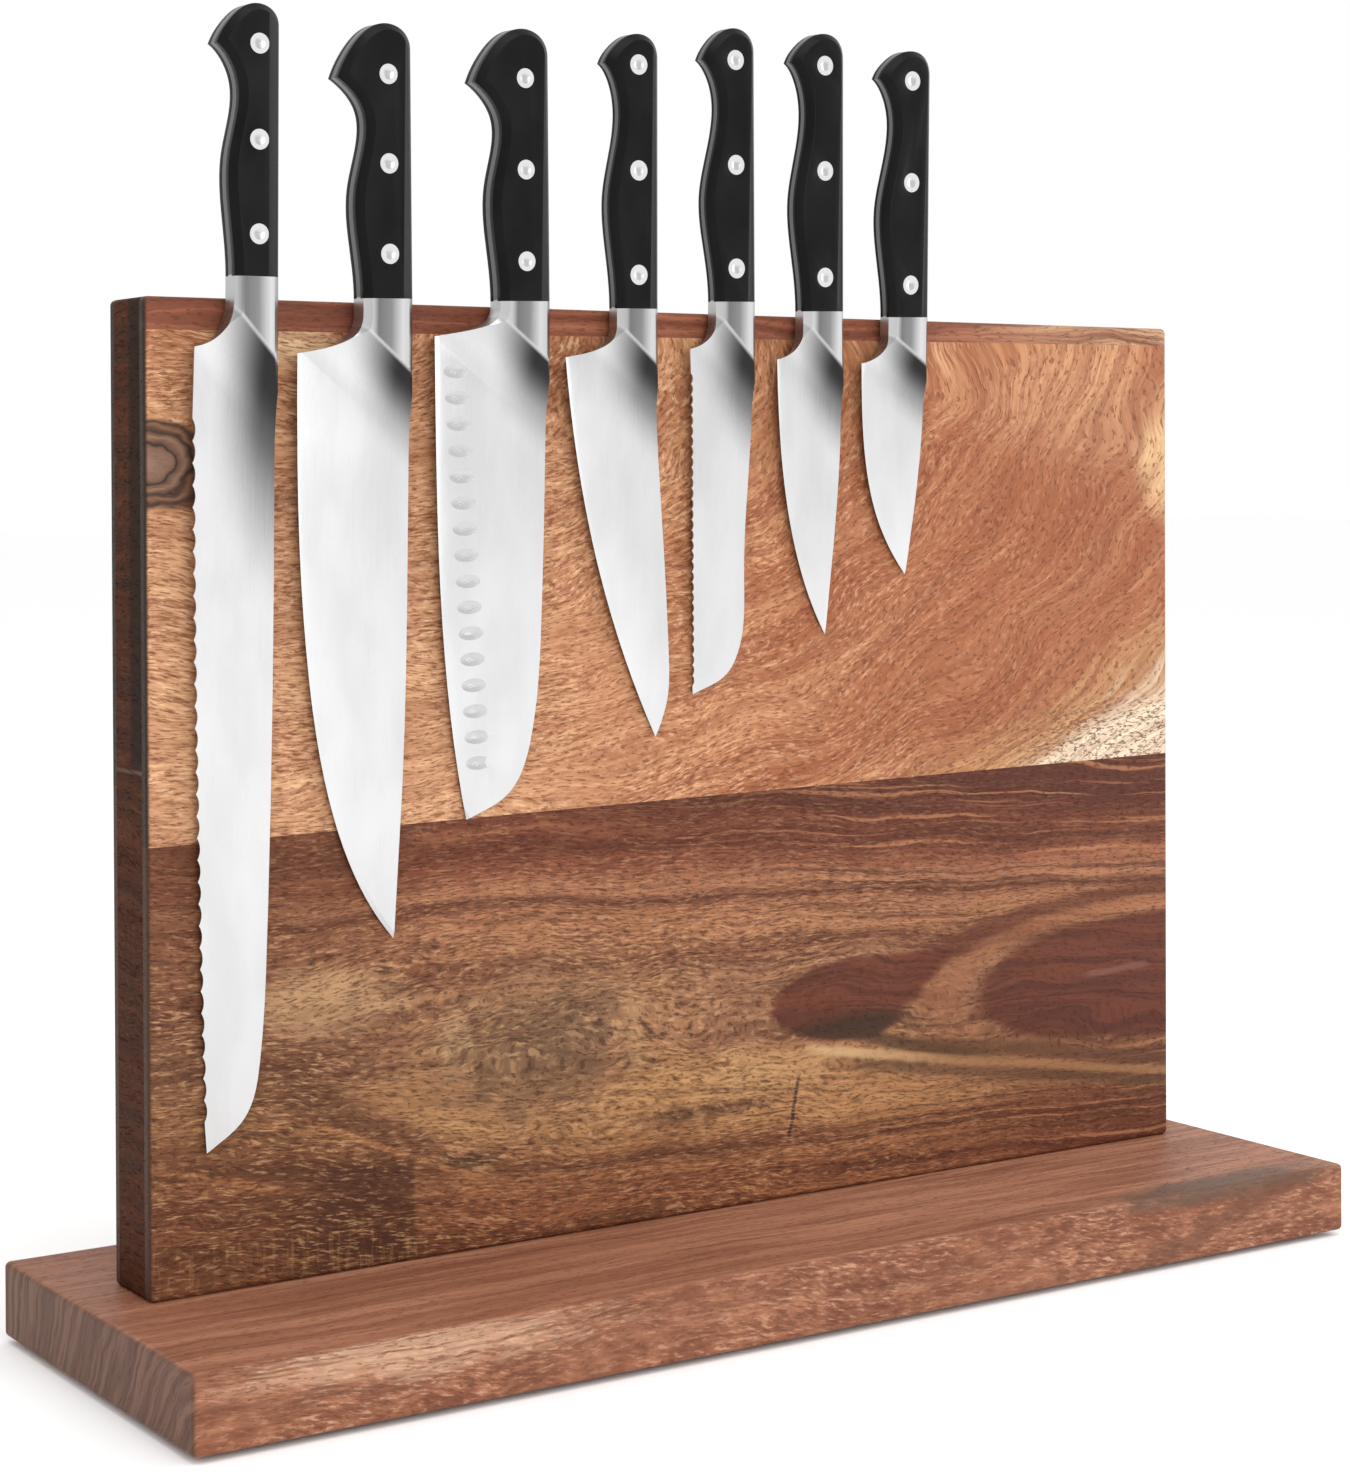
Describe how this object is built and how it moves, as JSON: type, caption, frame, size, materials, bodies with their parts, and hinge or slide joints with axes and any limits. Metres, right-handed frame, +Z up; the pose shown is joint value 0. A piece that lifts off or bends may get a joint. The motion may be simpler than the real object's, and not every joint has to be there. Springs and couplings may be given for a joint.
{
  "type": "knife magnetic rack",
  "caption": "Free-standing wooden board on a wide base slab, with hidden magnets that hold forged kitchen knives by their blades.",
  "frame": {"origin": "on the table, under the centre of the base slab", "axes": "+Z up, the board's knife face looks towards -Y, +X to the right of someone who faces the knives"},
  "size_m": [0.488, 0.158, 0.4626],
  "materials": {
    "base_wood": "oiled satin, pinkish brown acacia",
    "light_acacia": "oiled satin, orange tan acacia with open pores",
    "dark_acacia": "oiled satin, dark reddish brown acacia heartwood",
    "side_acacia": "oiled satin, dark brown acacia",
    "dowel_wood": "bare beech",
    "rubber": "matt black",
    "screw_steel": "zinc plated",
    "magnet_nickel": "nickel plated",
    "backing_steel": "plain mild steel",
    "blade_steel": "satin ground stainless steel",
    "handle_black": "satin black moulded plastic",
    "rivet_steel": "polished stainless steel"
  },
  "bodies": {
    "rack": {"base_plate": "base_wood", "rubber_feet": "rubber", "board_screws": "screw_steel", "dowels": "dowel_wood", "lower_front_plank": "dark_acacia", "upper_front_plank": "light_acacia", "top_front_strip": "dark_acacia", "lower_core_plank": "side_acacia", "upper_core_plank": "side_acacia", "lower_back_plank": "dark_acacia", "upper_back_plank": "light_acacia", "front_magnets": "magnet_nickel", "back_magnets": "magnet_nickel", "backing_strips": "backing_steel"},
    "bread_knife": {"bread_blade": "blade_steel", "bread_front_scale": "handle_black", "bread_back_scale": "handle_black", "bread_rivets": "rivet_steel"},
    "chef_knife": {"chef_blade": "blade_steel", "chef_front_scale": "handle_black", "chef_back_scale": "handle_black", "chef_rivets": "rivet_steel"},
    "santoku_knife": {"santoku_blade": "blade_steel", "santoku_front_scale": "handle_black", "santoku_back_scale": "handle_black", "santoku_rivets": "rivet_steel"},
    "cook_knife": {"cook_blade": "blade_steel", "cook_front_scale": "handle_black", "cook_back_scale": "handle_black", "cook_rivets": "rivet_steel"},
    "tomato_knife": {"tomato_blade": "blade_steel", "tomato_front_scale": "handle_black", "tomato_back_scale": "handle_black", "tomato_rivets": "rivet_steel"},
    "utility_knife": {"utility_blade": "blade_steel", "utility_front_scale": "handle_black", "utility_back_scale": "handle_black", "utility_rivets": "rivet_steel"},
    "paring_knife": {"paring_blade": "blade_steel", "paring_front_scale": "handle_black", "paring_back_scale": "handle_black", "paring_rivets": "rivet_steel"}
  },
  "joints": [
    {"name": "bread_lift_off", "type": "slide", "parent": "rack", "child": "bread_knife", "axis": [0, -1, 0], "range_m": [0, 0.1]},
    {"name": "chef_lift_off", "type": "slide", "parent": "rack", "child": "chef_knife", "axis": [0, -1, 0], "range_m": [0, 0.1]},
    {"name": "santoku_lift_off", "type": "slide", "parent": "rack", "child": "santoku_knife", "axis": [0, -1, 0], "range_m": [0, 0.1]},
    {"name": "cook_lift_off", "type": "slide", "parent": "rack", "child": "cook_knife", "axis": [0, -1, 0], "range_m": [0, 0.1]},
    {"name": "tomato_lift_off", "type": "slide", "parent": "rack", "child": "tomato_knife", "axis": [0, -1, 0], "range_m": [0, 0.1]},
    {"name": "utility_lift_off", "type": "slide", "parent": "rack", "child": "utility_knife", "axis": [0, -1, 0], "range_m": [0, 0.1]},
    {"name": "paring_lift_off", "type": "slide", "parent": "rack", "child": "paring_knife", "axis": [0, -1, 0], "range_m": [0, 0.1]}
  ]
}
